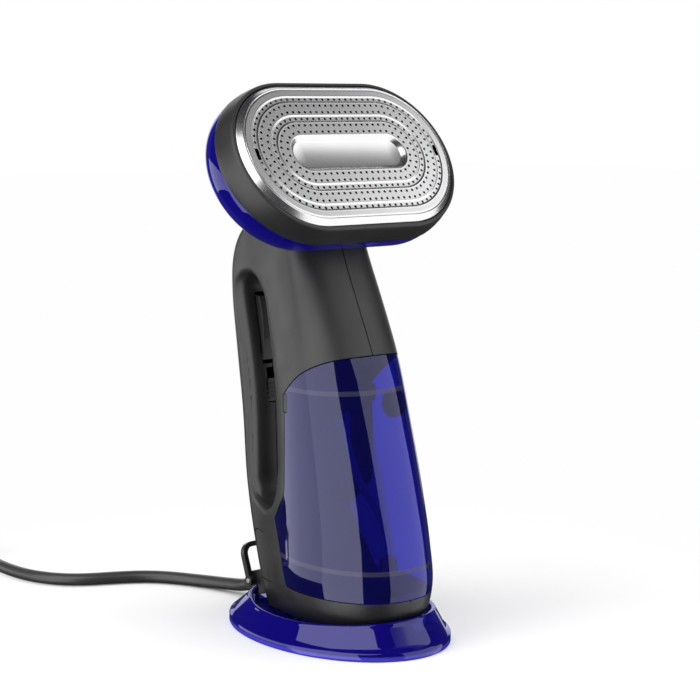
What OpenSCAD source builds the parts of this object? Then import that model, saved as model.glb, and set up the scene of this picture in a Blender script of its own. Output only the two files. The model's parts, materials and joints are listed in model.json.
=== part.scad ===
// Handheld garment steamer on a drip stand.
// Frame: origin at the centre of the stand's underside, +Z up.
// The steam plate faces -Y; the handle and the cord are at +Y.

/* [Head] */
// Height of the steam plate's centre above the floor
head_z = 273.8; // [268:0.2:280]
// Lean of the steam plate's face above the horizontal
head_tilt = 31.7; // [26:0.1:38]
// Length of the straight part of the plate's stadium outline
plate_straight = 61; // [58:0.2:64]
// Radius of the plate's rounded ends
plate_r = 44.4; // [44:0.1:46]
// Distance between neighbouring rings of steam holes
ring_pitch = 4.2; // [4:0.1:4.4]
// Radius of a steam hole
hole_r = 0.8; // [0.6:0.05:1]
// Rings of steam holes
ring_count = 6; // [5:1:6]

/* [Body] */
// Wall of the housing and the tank
wall = 2.4; // [2:0.1:3]
// Height of the shelf that the tank stands on
shelf_z = 27; // [26:0.5:29]
// Gap between the housing and the tank
tank_gap = 0.35; // [0.25:0.05:0.6]
// Gap between the two halves of the housing
seam = 0.2; // [0.1:0.05:0.4]

/* [Stand] */
// Half the length of the stand
stand_half_y = 76.4; // [74:0.2:80]
// Half the width of the stand
stand_half_x = 54.6; // [54:0.2:66]
// Height of the stand's rolled edge
stand_edge = 5; // [4:0.5:6]

/* [Cord] */
// Radius of the power cord
cord_r = 4; // [3.5:0.1:4.2]

/* [Hidden] */
$fn = 48;

head_y = -3.8;
housing_z = 7;
housing_top = 258;
charcoal = "#3b3b3c";
blue = "#1c16a8";
steel = "#c9cacc";
black = "#1a1a1b";
brass = "#b99a55";

// ---------------------------------------------------------------- smooth curves through a few stations

function span(t, z, i = 0) = i >= len(t) - 2 || z < t[i + 1][0] ? i : span(t, z, i + 1);
function slope(t, i) =
    let (a = max(i - 1, 0), b = min(i + 1, len(t) - 1))
    (t[b][1] - t[a][1]) / (t[b][0] - t[a][0]);
function curve(t, z) =
    let (i = span(t, z), h = t[i + 1][0] - t[i][0], u = (z - t[i][0]) / h)
    (2 * u^3 - 3 * u^2 + 1) * t[i][1] + (u^3 - 2 * u^2 + u) * h * slope(t, i)
    + (3 * u^2 - 2 * u^3) * t[i + 1][1] + (u^3 - u^2) * h * slope(t, i + 1);

// The housing's outline against height: front and rear faces, greatest half width and where it is,
// and half width of the grip.
front_face = [[7, -46], [12, -52], [27, -55.5], [55, -54], [85, -47.5], [120, -37.5], [160, -23.5],
    [190, -9.5], [215, 2], [240, 12], [258, 22]];
rear_face = [[7, 54], [16, 60.5], [41, 73.5], [73, 83.6], [120, 89.6], [160, 94.6], [190, 96.8],
    [206, 95.3], [222, 88.5], [236, 75], [248, 61], [258, 48]];
half_width = [[7, 31], [12, 35], [27, 37.5], [55, 36.5], [85, 35.5], [120, 34.5], [160, 33],
    [190, 30.5], [215, 28.5], [240, 27], [258, 24]];
widest_at = [[7, -4], [27, -6], [85, -2], [120, 2], [160, 6], [190, 12], [215, 20], [240, 26], [258, 32]];
grip_half = [[7, 23], [16, 21], [41, 17], [73, 14.5], [190, 15], [222, 17], [258, 16]];
grip_round = 14;
dock_y = 15; // depth of the face that the tank docks against
nose_power = 2.3;

// Half width of the housing at height z and depth y, shrunk by an inset.
function flank(z, y, inset) =
    let (f = curve(front_face, z) + inset, r = curve(rear_face, z) - inset, w = curve(half_width, z) - inset,
        m = curve(widest_at, z), g = curve(grip_half, z) - inset,
        t = (y - m) / (r - m), cap = 1 - grip_round / (r - m), e = (t - cap) / (1 - cap))
    y <= m ? w * max(0, 1 - (max(0, m - y) / (m - f))^nose_power)^(1 / nose_power)
        : (w + (g - w) * t^2 * (3 - 2 * t)) * (t > cap ? sqrt(max(0, 1 - e^2)) : 1);

function housing_ring(z, inset, n) =
    let (f = curve(front_face, z) + inset, r = curve(rear_face, z) - inset)
    [for (i = [0:n - 1]) let (a = 360 * i / n, y = f + (r - f) * (1 - cos(a)) / 2)
        [(a > 180 ? -1 : 1) * (i % (n / 2) == 0 ? 0 : flank(z, y, inset)), y, z]];

// A closed solid skinned over rings of points, with flat ends.
module skin(rings) {
    n = len(rings[0]);
    polyhedron(
        points = [for (r = rings) each r],
        faces = concat(
            [[for (i = [0:n - 1]) i]],
            [for (k = [0:len(rings) - 2]) for (i = [0:n - 1]) let (j = (i + 1) % n, a = k * n, b = a + n)
                each [[a + i, b + i, b + j], [a + i, b + j, a + j]]],
            [[for (i = [n - 1:-1:0]) (len(rings) - 1) * n + i]]
        ),
        convexity = 8
    );
}

module housing_solid(inset = 0, z0 = housing_z, z1 = housing_top, steps = 22, n = 40) {
    skin([for (k = [0:steps]) housing_ring(z0 + (z1 - z0) * k / steps, inset, n)]);
}

// ---------------------------------------------------------------- shapes in the side view

module through_x(width = 120) {
    rotate([90, 0, 90]) linear_extrude(width, center = true) children();
}

// The tank's upper edge climbs from the docking face towards the front.
tank_top = [[-90, 161.6], [-40, 161.5], [-23, 161.2], [-8, 155.8], [6, 147.3], [dock_y + 0.6, 138.5]];
tank_top_steps = 16;
module tank_outline() {
    polygon(concat(
        [[-90, shelf_z], [13, shelf_z], [31, 62.5], [dock_y + 0.6, 80], [dock_y, 112], [dock_y + 0.6, 138.5]],
        [for (k = [1:tank_top_steps]) let (y = dock_y - 40 * k / tank_top_steps) [y, curve(tank_top, y)]],
        [[-90, curve(tank_top, -90)]]
    ));
}

module finger_outline() {
    hull() {
        translate([49.5, 80]) circle(14.5, $fn = 32);
        translate([53, 140]) circle(14.5, $fn = 32);
    }
    hull() {
        translate([53, 140]) circle(14.5, $fn = 32);
        translate([61.5, 187]) circle(13, $fn = 32);
    }
}

// Outline of the cover low on each flank, which reaches round to the back.
side_cover_corners = [[50.5, 46.6], [60.5, 46.6], [55, 25.2], [40.8, 25.2]];
module side_cover_outline(grow = 0) {
    offset(r = grow) hull() for (p = side_cover_corners) translate(p) circle(3, $fn = 32);
}

module through_y(y0, y1) {
    translate([0, y1, 0]) rotate([90, 0, 0]) linear_extrude(y1 - y0) children();
}

// ---------------------------------------------------------------- the head's own frame

// x runs across the plate, y up it and z out of it.
module in_head() {
    translate([0, head_y, head_z]) rotate([90 - head_tilt, 0, 0]) children();
}

module stadium(r) {
    square([plate_straight, 2 * r], center = true);
    for (s = [-1, 1]) translate([s * plate_straight / 2, 0]) circle(r);
}

// A profile of radius and height carried round the stadium.
module stadium_turn() {
    for (s = [-1, 1])
        translate([s * plate_straight / 2, 0, 0]) rotate([0, 0, -90 * s])
            rotate_extrude(angle = 180) children();
    translate([-plate_straight / 2, 0, 0]) rotate([90, 0, 90]) linear_extrude(plate_straight) {
        children();
        mirror([1, 0, 0]) children();
    }
}

bezel_r = plate_r + 4.7;
bezel_depth = 17;
dome_start = 21;
cover_r = bezel_r - 0.3;
cover_depth = 44;
dome_fall = 24;

// The back cover is a straight rim and an elliptical dome: radius and level at steps round the dome,
// moved out by a distance.
dome_steps = 7;
function dome_points(out) = [for (k = [0:dome_steps]) let (a = 90 * k / dome_steps)
    [cover_r + out - dome_fall * (1 - cos(a)), -dome_start - (cover_depth - dome_start + out) * sin(a)]];

module head_cover_profile(inset = 0) {
    polygon(concat(
        [[0, -bezel_depth], [cover_r - inset, -bezel_depth]],
        dome_points(-inset),
        [[0, -cover_depth + inset]]
    ));
}

module head_envelope(grow) {
    in_head() {
        stadium_turn() polygon(concat(
            [[0, 5], [bezel_r + grow, 5], [bezel_r + grow, -bezel_depth - grow]],
            dome_points(grow),
            [[0, -cover_depth - grow]]
        ));
    }
}

// ---------------------------------------------------------------- round bars along a path

function unit(v) = v / norm(v);
function tangent(p, i) = unit(p[min(i + 1, len(p) - 1)] - p[max(i - 1, 0)]);
function path_ring(p, i, r, n, ref) =
    let (t = tangent(p, i), s = unit(cross(t, ref)), u = cross(t, s))
    [for (k = [0:n - 1]) p[i] + r * (cos(360 * k / n) * s + sin(360 * k / n) * u)];
module bar(path, r, n = 12, ref = [0, 0, 1]) {
    skin([for (i = [0:len(path) - 1]) path_ring(path, i, r, n, ref)]);
}
// Points along a smooth curve through the given places, with the place's number as the parameter.
function smooth_path(p, per_span = 5) =
    [for (k = [0:(len(p) - 1) * per_span]) let (u = k / per_span)
        [for (c = [0:2]) curve([for (i = [0:len(p) - 1]) [i, p[i][c]]], u)]];

// The steamer is drawn in its own frame and then stood in the stand.
seat = [0, -7.7, 2.4];
module seated() {
    translate(seat) children();
}

// ---------------------------------------------------------------- stand

rim_half_x = 46.6;
rim_half_y = 61.2;
rim_mid_y = -2.6;
rim_z = 15.5;
floor_z = 7.4;
notch_z = 4.6;
rest_h = 1.3;
function oval(a, b, mid_y, z, n, rise = 0) =
    [for (i = [0:n - 1]) let (t = 360 * i / n) [a * cos(t), b * sin(t) + mid_y, z + rise * rim_rise(t)]];
// The rim is lowest at the flanks and rises a little in front and behind.
rear_rise = 1.5;
front_rise = 3.2;
function ease(u) = let (v = min(1, max(0, u))) v * v * (3 - 2 * v);
function rim_rise(t) = sin(t) > 0 ? rear_rise * ease((sin(t) - 0.35) / 0.3) : front_rise * sin(t)^2;

module stand_tray() {
    n = 64;
    // Two low runners carry the steamer's base.
    color(blue) for (s = [-1, 1]) translate([s * 11 - 1.5, -38, floor_z - 0.5]) cube([3, 62, rest_h + 0.5]);
    color(blue) difference() {
        skin([
            oval(stand_half_x, stand_half_y, 0, 0, n),
            oval(stand_half_x, stand_half_y, 0, stand_edge, n),
            oval(stand_half_x - 2, stand_half_y - 2.2, 0.3, stand_edge + 1.4, n, 0.1),
            oval(rim_half_x + 1.2, rim_half_y + 1.2, rim_mid_y, rim_z, n, 1),
            oval(rim_half_x - 1.2, rim_half_y - 1.2, rim_mid_y, rim_z, n, 1),
            oval(rim_half_x - 2.6, rim_half_y - 2, rim_mid_y, floor_z + 3, n, 0.2),
            oval(rim_half_x - 6, rim_half_y - 4, rim_mid_y, floor_z, n)
        ]);
        // The gap that the cord and its collar leave through.
        translate([-18, 34, notch_z]) cube([36, 60, 40]);
        for (p = foot_places) translate([p[0], p[1], -1]) cylinder(r = 6.1, h = 2.2);
    }
}
foot_places = [for (x = [-34, 34], y = [-38, 40]) [x, y]];

module stand_feet() {
    color(black) for (p = foot_places) translate([p[0], p[1], 0]) cylinder(r = 6, h = 1.2);
}

// ---------------------------------------------------------------- housing

screw_places = [[26.2, 100], [26.2, 128], [75.5, 84], [66, 56.5], [86, 216]];
screw_r = 1.5;
boss_r = 3.4;

module housing_shell() {
    difference() {
        housing_solid();
        through_x() tank_outline();
        through_x() finger_outline();
        difference() {
            housing_solid(wall, housing_z + 2.6, housing_top + 1);
            through_x() offset(r = wall) tank_outline();
            through_x() offset(r = wall) finger_outline();
            for (p = screw_places) translate([0, p[0], p[1]]) rotate([0, 90, 0])
                cylinder(r = boss_r, h = 80, center = true, $fn = 24);
        }
        housing_solid(wall, housing_z - 3, housing_z + 2.6, 1);
        head_envelope(0.3);
        for (s = [-1, 1]) translate([s * 30, 0, 0]) through_x(40) side_cover_outline(0.2);
        in_panel() translate([0, 0, -8]) linear_extrude(20) panel_outline(0.15);
        // Slots for the trigger and the lock in the front of the grip.
        through_y(50, 79) trigger_opening(0.3);
        through_y(50, 75) translate([0, lock_z]) square([9.4, 21], center = true);
        latch_slot(0.25);
        in_dock() translate([0, 0, -3]) cylinder(r = 7.2, h = 9, $fn = 32);
        for (p = screw_places) translate([0, p[0], p[1]]) rotate([0, 90, 0]) {
            cylinder(r = screw_r + 0.15, h = 60, center = true, $fn = 24);
            translate([0, 0, 5]) cylinder(r = 2.9, h = 40, $fn = 24);
        }
        // The lower end of the gap takes the cord's collar.
        translate([-9.8, 50, 0]) cube([19.6, 32, 26]);
    }
}

// Eight ribs stiffen each half; they also hold the boss walls square.
module housing_ribs(side) {
    for (k = [0:7]) let (z = 66 + 15.5 * k, y = curve(rear_face, z) - wall)
        hull() {
            translate([side * 3, y - 1.4, z]) sphere(0.8, $fn = 12);
            translate([side * (curve(grip_half, z) - wall - 2), y - 4.2, z]) sphere(0.8, $fn = 12);
        }
}

module housing_half(side) {
    seated() color(charcoal) union() {
        intersection() {
            housing_shell();
            translate([side > 0 ? seam / 2 : -100, -150, -10]) cube([100 - seam / 2, 300, 300]);
        }
        housing_ribs(side);
    }
}
module housing_left() { housing_half(-1); }
module housing_right() { housing_half(1); }

module housing_screws() {
    seated() color(steel) for (p = screw_places) translate([0, p[0], p[1]]) rotate([0, 90, 0]) {
        translate([0, 0, -9]) cylinder(r = screw_r, h = 14.1);
        translate([0, 0, 5.05]) cylinder(r = 2.7, h = 2);
    }
}

module base_pan() {
    seated() color(black) difference() {
        housing_solid(wall + 0.3, housing_z - 0.6, housing_z + 2.2, 1);
        translate([-10.2, 45, 0]) cube([20.4, 40, 30]);
        for (p = base_screw_places) translate([p[0], p[1], 0]) cylinder(r = 1.7, h = 20);
    }
}
base_screw_places = [[-20, -20], [20, -20], [-20, 20], [20, 20]];
module base_screws() {
    seated() color(steel) for (p = base_screw_places) translate([p[0], p[1], 0]) {
        translate([0, 0, 5.2]) cylinder(r = 3, h = 1.15);
        translate([0, 0, 6.3]) cylinder(r = 1.5, h = 7);
    }
}

module side_covers() {
    seated() color(charcoal) intersection() {
        difference() {
            housing_solid(0.3, housing_z, 70, 8);
            housing_solid(wall, housing_z - 1, 71, 8);
        }
        through_x() side_cover_outline();
    }
}

// ---------------------------------------------------------------- head

module bezel() {
    seated() color(charcoal) in_head() stadium_turn() polygon([
        [plate_r + 0.35, -2.4], [plate_r + 1.2, -2.4], [plate_r + 2.4, -3.2],
        [plate_r + 3.9, -10], [bezel_r, -bezel_depth + 0.4],
        [plate_r - 4, -bezel_depth + 0.4], [plate_r - 4, -bezel_depth + 3], [plate_r + 0.35, -bezel_depth + 3]
    ]);
}

cover_window = [30, 20];
module head_cover() {
    seated() color(blue) in_head() difference() {
        stadium_turn() head_cover_profile();
        translate([0, 0, 1]) stadium_turn() head_cover_profile(wall);
        translate([0, -8, -cover_depth]) cube([cover_window[0], cover_window[1], 20], center = true);
    }
}

module plate_gasket() {
    seated() color("#d8d8d2") in_block() stadium_turn()
        polygon([[plate_r - 3, -2.1], [plate_r, -2.1], [plate_r, -4], [plate_r - 3, -4]]);
}

// Face of the plate from the centre out: sunken recess, two shallow grooves between ridges, flange and
// bevelled rim.
recess_r = 11.05;
recess_depth = 2.6;
recess_wall = 3;
ring_r0 = recess_r + 2.2;
ridge_h = 0.12;
groove_h = -0.3;
plate_skin = 1.6;
rim_bevel = 3.6;
rim_fall = 2.8;
rim_skirt = 6;

// A groove with a low ridge on each side, between two radii.
function groove(r0, r1) = [
    [r0 - 0.9, 0], [r0, ridge_h], [r0 + 0.9, groove_h],
    [r1 - 0.9, groove_h], [r1, ridge_h], [r1 + 0.9, 0]
];

module plate_profile() {
    polygon(concat(
        [[0, -recess_depth], [recess_r - recess_wall, -recess_depth]],
        [[recess_r, ridge_h], [recess_r + 0.9, 0]],
        groove(recess_r + 8.5, recess_r + 12.7),
        groove(recess_r + 21.1, recess_r + 24.8),
        [[plate_r - rim_bevel, 0], [plate_r, -rim_fall], [plate_r, -rim_skirt], [plate_r - 2, -rim_skirt],
            [plate_r - 2, -rim_fall - 0.6], [recess_r + 1, -2.1],
            [recess_r - 1.6, -recess_depth - plate_skin], [0, -recess_depth - plate_skin]]
    ));
}

// Places on a stadium of radius r: along the straights in even pitch, then round the ends.
function ring_size(r) = 2 * round((2 * plate_straight + 2 * PI * r) / (2 * ring_pitch));
function on_stadium(r, s) =
    let (l = plate_straight, arc = PI * r, q = s % (2 * l + 2 * arc))
    q < l ? [q - l / 2, -r]
    : q < l + arc ? let (a = -90 + (q - l) / r * 180 / PI) [l / 2 + r * cos(a), r * sin(a)]
    : q < 2 * l + arc ? [l / 2 - (q - l - arc), r]
    : let (a = 90 + (q - 2 * l - arc) / r * 180 / PI) [-l / 2 + r * cos(a), r * sin(a)];
function ring_holes(r) = let (n = ring_size(r), len = 2 * plate_straight + 2 * PI * r)
    [for (i = [0:n - 1]) on_stadium(r, (i + 0.5) * len / n)];

module steam_plate() {
    seated() color(steel) in_head() difference() {
        stadium_turn() plate_profile();
        for (k = [0:ring_count - 1], p = ring_holes(ring_r0 + k * ring_pitch))
            if (k < ring_count - 1 || abs(p[1]) > 5)
                translate([p[0], p[1], -4]) cylinder(r = hole_r, h = 6, $fn = 16);
        // Clip slots for the brush and creaser attachments.
        for (s = [-1, 1]) translate([s * (plate_straight / 2 + ring_r0 + 5 * ring_pitch), 0, 0])
            cube([2.4, 7, 8], center = true);
    }
}

boiler_r = 33;
// Parts behind the plate sit on the cast block's own level.
module in_block() {
    in_head() translate([0, 0, -4.2]) children();
}
module boiler() {
    seated() color("#a9abad") in_block() difference() {
        union() {
            translate([0, 0, -19]) linear_extrude(12) stadium(boiler_r);
            translate([0, 0, -7.1]) linear_extrude(2) stadium(boiler_r - 4);
        }
        // Steam channel, and the groove of the heating tube on the back.
        translate([0, 0, -12]) linear_extrude(8) difference() {
            stadium(boiler_r - 7);
            stadium(boiler_r - 17);
        }
        heater_path(4.05);
        translate([0, 8, -25]) cylinder(r = 2.6, h = 14);
        for (x = [-34, 34], y = [-28, 28]) translate([x, y, -25]) cylinder(r = 1.65, h = 12);
    }
}
// A U of tube: two straights joined by a half turn.
module heater_path(r) {
    bend_x = plate_straight / 2 - 6;
    start_x = -42;
    bend_r = 19;
    translate([bend_x, 0, -20]) rotate([0, 0, -90])
        rotate_extrude(angle = 180) translate([bend_r, 0]) circle(r);
    for (s = [-1, 1]) translate([start_x, s * bend_r, -20]) rotate([0, 90, 0])
        cylinder(r = r, h = bend_x - start_x);
}
module heater_tube() {
    seated() color("#6f7073") in_block() heater_path(3.9);
}
module boiler_lid() {
    seated() color("#b7b9bb") in_block() difference() {
        translate([0, 0, -5]) linear_extrude(1.2) stadium(boiler_r + 3);
        for (x = [-36:12:36], s = [-1, 1]) translate([x, s * 14, -6]) cylinder(r = 2, h = 4);
    }
}
module boiler_screws() {
    seated() color(steel) in_block() for (x = [-34, 34], y = [-28, 28]) translate([x, y, 0]) {
        translate([0, 0, -19.2]) cylinder(r = 1.5, h = 6);
        translate([0, 0, -21]) cylinder(r = 3, h = 1.9);
    }
}
module thermostat() {
    seated() color(black) in_block() translate([-18, 0, -19.2]) mirror([0, 0, 1]) {
        cylinder(r = 7, h = 6);
        translate([-10, -1.5, 2]) cube([20, 3, 0.8]);
    }
}
module thermal_fuse() {
    seated() color("#e6e1d6") in_block() translate([16, -6, -21.8]) rotate([0, 90, 0]) {
        cylinder(r = 2.4, h = 16, center = true);
        cylinder(r = 0.6, h = 26, center = true);
    }
}

// ---------------------------------------------------------------- pump, tubes and tank socket

// The pump leans back with the neck; its own z runs up along its axis.
pump_y = 26;
pump_z = 192;
pump_lean = 25;
module in_pump() {
    translate([0, pump_y, pump_z]) rotate([-pump_lean, 0, 0]) children();
}
function on_pump(d) = [0, pump_y + d * sin(pump_lean), pump_z + d * cos(pump_lean)];
module pump() {
    seated() color("#2d2d30") in_pump() {
        translate([-13, -10, -16]) cube([26, 20, 28]);
        translate([0, 0, -24]) cylinder(r = 4, h = 10);
        translate([0, 0, 12]) cylinder(r = 5.5, h = 6);
        translate([0, 0, 18]) cylinder(r = 2.4, h = 5);
    }
}
module pump_mounts() {
    seated() color(black) in_pump() for (s = [-1, 1])
        translate([s * 15.3, 0, -2]) cube([4, 16, 20], center = true);
}
socket_z = 118;
module suction_tube() {
    places = [[0, dock_y + 11.3, socket_z], [0, dock_y + 16, socket_z + 1.5], [0, 32.8, 128], [0, 30.5, 140],
        [0, 21, 150], [0, 13.4, 157], on_pump(-32), on_pump(-24.3)];
    seated() color("#d9dde0") bar(smooth_path(places), 2.2, 12, [1, 0, 0]);
}
module feed_tube() {
    places = [on_pump(23.3), on_pump(31), [0, 37.5, 229], [0, 32, 242], [0, 29.3, 254], [0, 25.9, 264.8],
        [0, 20, 268.5]];
    seated() color("#d9dde0") bar(smooth_path(places), 2.2, 12, [1, 0, 0]);
}
// The docking axis: z runs from the tank back into the housing.
module in_dock() {
    translate([0, dock_y, socket_z]) rotate([-90, 0, 0]) children();
}
module tank_socket() {
    seated() color(black) in_dock() difference() {
        union() {
            translate([0, 0, 0.2]) cylinder(r = 7, h = 4);
            translate([0, 0, 4.2]) cylinder(r = 5.4, h = 4.5);
        }
        cylinder(r = 4.1, h = 7.2);
        cylinder(r = 2, h = 12);
    }
}
module socket_seal() {
    seated() color("#a33a2b") in_dock() translate([0, 0, 6.45])
        rotate_extrude() translate([3.25, 0]) circle(0.7, $fn = 24);
}

// ---------------------------------------------------------------- electrics

module control_board() {
    seated() color("#1f6b3a") translate([-16, 24, 14]) cube([32, 24, 1.6]);
}
module board_parts() {
    seated() color(black) {
        translate([-14, 27, 15.6]) cube([10, 12, 9]);
        translate([4, 27, 15.6]) cylinder(r = 3, h = 8);
        translate([11, 38, 15.6]) cylinder(r = 2.5, h = 7);
        translate([-2, 40, 15.6]) cube([8, 6, 3]);
    }
}
module wire_harness() {
    route = [[45, 20], [49, 38], [57, 58], [65.5, 69], [70, 82], [73.5, 106], [79, 130], [83.2, 142],
        [86, 149]];
    seated() color("#b03326") for (s = [-1, 1])
        bar(smooth_path([for (p = route) [s * 5, p[0], p[1]]]), 1.1, 8, [1, 0, 0]);
}

trigger_z = 168;
module trigger_opening(grow = 0) {
    translate([0, trigger_z]) offset(r = grow) square([13, 42], center = true);
}
module trigger_switch() {
    seated() color(black) translate([-3.2, 85.4, trigger_z - 18]) cube([6.4, 4, 13]);
}
trigger_pivot = [0, 79.5, trigger_z + 16];
// The lever hangs from its pin, and its face stands a little out of the grip into the finger gap.
trigger_face = [[79, 20], [72.6, 19], [69.4, 8], [68.2, -6], [69.6, -19], [76, -19.5], [79.5, -12],
    [82.4, 10], [83, 16], [81.5, 19.4]];
module trigger() {
    seated() color(charcoal) difference() {
        through_x(12.6) polygon([for (p = trigger_face) [p[0], trigger_z + p[1]]]);
        translate(trigger_pivot) rotate([0, 90, 0]) cylinder(r = 1.55, h = 40, center = true);
    }
}
module trigger_pin() {
    seated() color(steel) translate(trigger_pivot) rotate([0, 90, 0])
        cylinder(r = 1.5, h = 21, center = true);
}
module trigger_spring() {
    steps = 60;
    coil_r = 2.2;
    start_y = 83.4;
    length = 6.6;
    coil = [for (i = [0:steps]) let (a = 30 * i)
        [coil_r * cos(a), start_y + length * i / steps, trigger_z - 2 + coil_r * sin(a)]];
    seated() color(steel) bar(coil, 0.35, 6, [0, 1, 0.01]);
}
lock_z = 134;
module lock_slider() {
    seated() color(black) {
        translate([-4.4, 66.6, lock_z - 10]) cube([8.8, 5, 14]);
        for (k = [0:3]) translate([-4.4, 65.9, lock_z - 8 + 2.6 * k]) cube([8.8, 1, 1.2]);
    }
}

// The control panel lies on the slope behind the head: x across, y up the slope, z out of it.
panel_tilt = -40.6;
module in_panel() {
    translate([0, 68.2, 242.6]) rotate([panel_tilt, 0, 0]) children();
}
module panel_outline(grow = 0) {
    offset(r = grow) hull() for (s = [-1, 1]) translate([0, s * 11]) circle(9, $fn = 32);
}
module control_panel() {
    seated() color(black) in_panel() difference() {
        translate([0, 0, -7.5]) linear_extrude(7) {
            square([18, 22], center = true);
            for (s = [-1, 1]) translate([0, s * 11]) circle(9);
        }
        for (s = [-1, 1]) translate([0, s * 9.5, -8]) cylinder(r = 6.25, h = 12);
        translate([0, 0, -8]) cylinder(r = 1.6, h = 12);
    }
}
module panel_button(s) {
    seated() color(charcoal) in_panel() translate([0, s * 9.5, -6]) cylinder(r = 6, h = 6.6);
}
module power_button() { panel_button(1); }
module mode_button() { panel_button(-1); }
module indicator_lens() {
    seated() color("#7fb6ff") in_panel() translate([0, 0, -5]) cylinder(r = 1.5, h = 4.7);
}

// ---------------------------------------------------------------- tank

module tank() {
    seated() color(blue) difference() {
        intersection() {
            housing_solid();
            through_x() offset(delta = -tank_gap) tank_outline();
        }
        intersection() {
            housing_solid(wall, housing_z, housing_top);
            through_x() offset(delta = -tank_gap - wall) tank_outline();
        }
        translate([20, -4, fill_z]) rotate([0, 90, 0]) cylinder(r = 8.15, h = 30, $fn = 32);
        in_dock() translate([0, 0, -6]) cylinder(r = 4.5, h = 12, $fn = 24);
        latch_slot(0.6);
        // Moulded grip ribs low on each flank keep the wet tank from slipping.
        for (s = [-1, 1], k = [0:3]) let (z = 44 + 5 * k) hull() {
            translate([s * (flank(z, 10, 0) + 0.7), 10, z]) sphere(1.1, $fn = 12);
            translate([s * (flank(z, 16, 0) + 0.7), 16, z]) sphere(1.1, $fn = 12);
        }
    }
}
fill_z = 128;
module fill_neck() {
    seated() color(blue) translate([0, -4, fill_z]) rotate([0, 90, 0]) difference() {
        translate([0, 0, 30.4]) cylinder(r = 8, h = 3.2);
        translate([0, 0, 29]) cylinder(r = 6, h = 8);
    }
}
module fill_plug() {
    seated() color(black) translate([0, -4, fill_z]) rotate([0, 90, 0]) {
        translate([0, 0, 30]) cylinder(r = 5.9, h = 4);
        translate([0, 0, 34]) cylinder(r = 7.8, h = 1.6);
        translate([-1, -6, 35.6]) cube([2, 12, 1.4]);
    }
}
module tank_spigot() {
    seated() color(blue) in_dock() difference() {
        union() {
            translate([0, 0, -6]) cylinder(r = 4.4, h = 5.4);
            translate([0, 0, -0.6]) cylinder(r = 4, h = 3.6);
            translate([0, 0, 3]) cylinder(r = 2.35, h = 3.9);
        }
        translate([0, 0, -7]) cylinder(r = 1.5, h = 20);
    }
}
// The pick-up hose curls through the tank to a weight that lies on the bottom.
module pickup_hose() {
    places = [[0, dock_y - 6.8, socket_z], [0, 1, socket_z + 2.4], [-6, -8, socket_z + 8],
        [-13, -16, socket_z - 3], [-10, -18, socket_z - 18], [-2, -16, socket_z - 32],
        [5, -20, socket_z - 46], [8, -26, 56], [6, -30, 46.6]];
    seated() color("#b9c2ff") bar(smooth_path(places, 4), 2, 8, [1, 0.3, 0.1]);
}
module hose_weight() {
    seated() color(brass) translate([6, -30, 33]) cylinder(r = 5, h = 12.2);
}

latch_y = dock_y - 0.4;
latch_z = 132.8;
latch_size = [5, 3.6, 9.6];
module latch_slot(grow) {
    for (s = [-1, 1]) translate([s * 32, latch_y, latch_z])
        cube([16, latch_size[1] + 0.4 + 2 * grow, latch_size[2] + 0.4 + 2 * grow], center = true);
}
module latch(side) {
    seated() color(black) translate([side * (flank(latch_z, latch_y, 0) - 2.2), latch_y, latch_z])
        cube(latch_size, center = true);
}
module latch_left() { latch(-1); }
module latch_right() { latch(1); }

// ---------------------------------------------------------------- cord and hanging loop

// The cord leaves low at the rear and dips towards the floor; z runs out along it, y down across it.
exit_dip = 17;
module in_exit() {
    translate([0, 60, 16]) rotate([-90 - exit_dip, 0, 0]) children();
}
module cord_collar() {
    seated() color(black) difference() {
        in_exit() translate([-9.5, -8, -2]) cube([19, 14.8, 21.5]);
        in_exit() translate([0, 0, -5]) cylinder(r = 5.3, h = 40);
        for (s = [-1, 1]) translate([s * 9.6, loop_y, loop_z]) rotate([0, 90, 0])
            cylinder(r = pin_r + 0.05, h = 7, center = true);
    }
}
pin_r = 1.5;
loop_y = 76;
loop_z = 13.8;
loop_half = 12.2;
loop_lean = 20;
module loop_pins() {
    seated() color(steel) for (s = [-1, 1]) translate([s * 10.25, loop_y, loop_z]) rotate([0, 90, 0])
        cylinder(r = pin_r, h = 7.5, center = true);
}
// A flat bar bent to a U with rounded corners, hanging on a pin at the foot of each leg.
module hang_loop() {
    leg = 15.5;
    bend = 6;
    bar_w = 3.4;
    bar_t = 3;
    seated() color(black) translate([0, loop_y, loop_z]) rotate([-loop_lean, 0, 0]) {
        for (s = [-1, 1]) translate([s * loop_half, 0, 0]) rotate([0, 90, 0]) difference() {
            union() {
                cylinder(r = 3.1, h = bar_t, center = true);
                translate([-leg, -bar_w / 2, -bar_t / 2]) cube([leg, bar_w, bar_t]);
            }
            cylinder(r = pin_r + 0.06, h = 10, center = true);
        }
        for (s = [-1, 1]) translate([s * (loop_half - bend), bar_w / 2, leg]) rotate([90, s < 0 ? -90 : 0, 0])
            rotate_extrude(angle = 90) translate([bend - bar_t / 2, 0]) square([bar_t, bar_w]);
        translate([0, 0, leg + bend]) cube([2 * (loop_half - bend), bar_w, bar_t], center = true);
    }
}
module cord_bushing() {
    seated() color(black) in_exit() difference() {
        union() {
            translate([0, 0, -4]) cylinder(r = 5.2, h = 28);
            translate([0, 0, 24]) cylinder(r1 = 5.2, r2 = cord_r + 0.6, h = 9);
        }
        translate([0, 0, -6]) cylinder(r = cord_r + 0.1, h = 50);
    }
}
module cord_clamp() {
    seated() color(steel) in_exit() difference() {
        translate([-6.5, -5.5, -9]) cube([13, 11, 3]);
        translate([0, 0, -12]) cylinder(r = cord_r + 0.1, h = 12);
    }
}
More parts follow.
